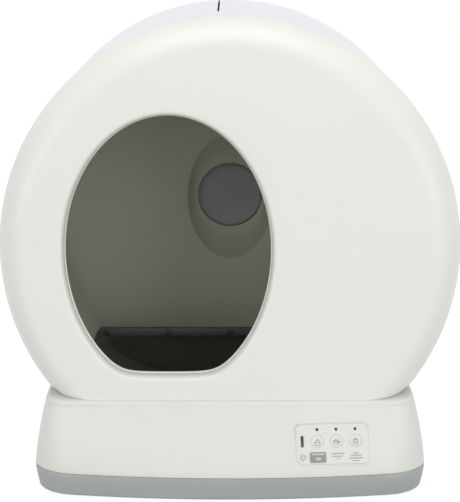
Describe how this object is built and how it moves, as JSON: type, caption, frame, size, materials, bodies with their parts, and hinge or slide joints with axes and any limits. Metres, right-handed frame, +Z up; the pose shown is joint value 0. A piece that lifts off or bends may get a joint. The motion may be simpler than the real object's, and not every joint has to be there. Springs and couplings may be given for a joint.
{
  "type": "self cleaning litter box",
  "caption": "Self-cleaning litter box: round housing with off-centre oval entrance, motor-turned drum on rollers, rear waste drawer and push-button panel on a flared base.",
  "frame": {"origin": "middle of the base's footprint, on the surface it stands on", "axes": "+Z up, -Y out of the entrance, +X to the right seen from the front; the drum turns about an axis along Y"},
  "size_m": [0.53, 0.52, 0.534],
  "materials": {
    "white_plastic": "moulded ABS, warm white, satin gloss",
    "hood_plastic": "moulded ABS, cool white, satin gloss",
    "grey_plastic": "moulded, mid grey, fine matt",
    "drum_plastic": "moulded, warm dark grey, fine matt",
    "black_rubber": "moulded rubber, black",
    "gear_plastic": "natural acetal",
    "steel": "plated steel",
    "motor_can": "drawn steel can",
    "dark_lens": "polished dark blue-grey window",
    "black_plastic": "black, satin",
    "board_green": "glass-epoxy board, green lacquer"
  },
  "bodies": {
    "housing": {"base_housing": "white_plastic", "front_shell": "white_plastic", "control_panel": "white_plastic", "rear_hood": "hood_plastic", "base_pan": "grey_plastic", "roller_bracket_front_left": "grey_plastic", "roller_bracket_front_right": "grey_plastic", "roller_bracket_rear_left": "grey_plastic", "roller_bracket_rear_right": "grey_plastic", "foot_front_left": "black_rubber", "foot_front_right": "black_rubber", "foot_rear_left": "black_rubber", "foot_rear_right": "black_rubber", "motor_bracket": "steel", "roller_pin_front_left": "steel", "roller_pin_front_right": "steel", "roller_pin_rear_left": "steel", "roller_pin_rear_right": "steel", "gear_motor": "motor_can", "sensor_lens": "dark_lens", "sensor_pod": "black_plastic", "led_clean": "black_plastic", "led_fill": "black_plastic", "led_empty": "black_plastic", "indicator_window": "black_plastic", "power_inlet": "black_plastic", "control_board": "board_green"},
    "drum": {"drum_barrel": "drum_plastic", "drum_mouth_ring": "drum_plastic", "drum_bowl": "drum_plastic", "drum_recess": "drum_plastic", "drum_bush": "black_plastic", "drum_ring_gear": "gear_plastic", "litter_liner": "black_rubber", "liner_clamp_bar": "drum_plastic", "sieve_grid": "drum_plastic", "bar_screw_1": "steel", "bar_screw_2": "steel", "bar_screw_3": "steel", "bar_screw_4": "steel", "bar_screw_5": "steel"},
    "pinion": {"drive_pinion": "gear_plastic", "motor_shaft": "steel"},
    "drawer": {"waste_drawer": "grey_plastic", "drawer_panel": "white_plastic"},
    "roller_front_left": {"roller_front_left": "black_rubber"},
    "roller_front_right": {"roller_front_right": "black_rubber"},
    "roller_rear_left": {"roller_rear_left": "black_rubber"},
    "roller_rear_right": {"roller_rear_right": "black_rubber"},
    "button_clean": {"button_clean": "white_plastic"},
    "button_fill": {"button_fill": "white_plastic"},
    "button_empty": {"button_empty": "white_plastic"}
  },
  "joints": [
    {"name": "drum_spin", "type": "hinge", "parent": "housing", "child": "drum", "pos_m": [0, 0, 0.269], "axis": [0, 1, 0], "continuous": true},
    {"name": "pinion_spin", "type": "hinge", "parent": "housing", "child": "pinion", "pos_m": [-0.18706, 0.144, 0.161], "axis": [0, 1, 0], "continuous": true},
    {"name": "roller_front_left_spin", "type": "hinge", "parent": "housing", "child": "roller_front_left", "pos_m": [-0.18502, -0.11, 0.12444], "axis": [0, 1, 0], "continuous": true},
    {"name": "roller_front_right_spin", "type": "hinge", "parent": "housing", "child": "roller_front_right", "pos_m": [0.18502, -0.11, 0.12444], "axis": [0, 1, 0], "continuous": true},
    {"name": "roller_rear_left_spin", "type": "hinge", "parent": "housing", "child": "roller_rear_left", "pos_m": [-0.18502, 0.035, 0.12444], "axis": [0, 1, 0], "continuous": true},
    {"name": "roller_rear_right_spin", "type": "hinge", "parent": "housing", "child": "roller_rear_right", "pos_m": [0.18502, 0.035, 0.12444], "axis": [0, 1, 0], "continuous": true},
    {"name": "drawer_slide", "type": "slide", "parent": "housing", "child": "drawer", "axis": [0, 1, 0], "range_m": [0, 0.36]},
    {"name": "button_clean_press", "type": "slide", "parent": "housing", "child": "button_clean", "axis": [-0.0729, 0.9192, -0.3871], "range_m": [0, 0.001], "stiffness_N_per_m": 500},
    {"name": "button_fill_press", "type": "slide", "parent": "housing", "child": "button_fill", "axis": [-0.0729, 0.9192, -0.3871], "range_m": [0, 0.001], "stiffness_N_per_m": 500},
    {"name": "button_empty_press", "type": "slide", "parent": "housing", "child": "button_empty", "axis": [-0.0729, 0.9192, -0.3871], "range_m": [0, 0.001], "stiffness_N_per_m": 500}
  ],
  "couplings": [
    {"joint": "pinion_spin", "follows": "drum_spin", "ratio": -8},
    {"joint": "roller_front_left_spin", "follows": "drum_spin", "ratio": -18.542},
    {"joint": "roller_front_right_spin", "follows": "drum_spin", "ratio": -18.542},
    {"joint": "roller_rear_left_spin", "follows": "drum_spin", "ratio": -18.542},
    {"joint": "roller_rear_right_spin", "follows": "drum_spin", "ratio": -18.542}
  ]
}
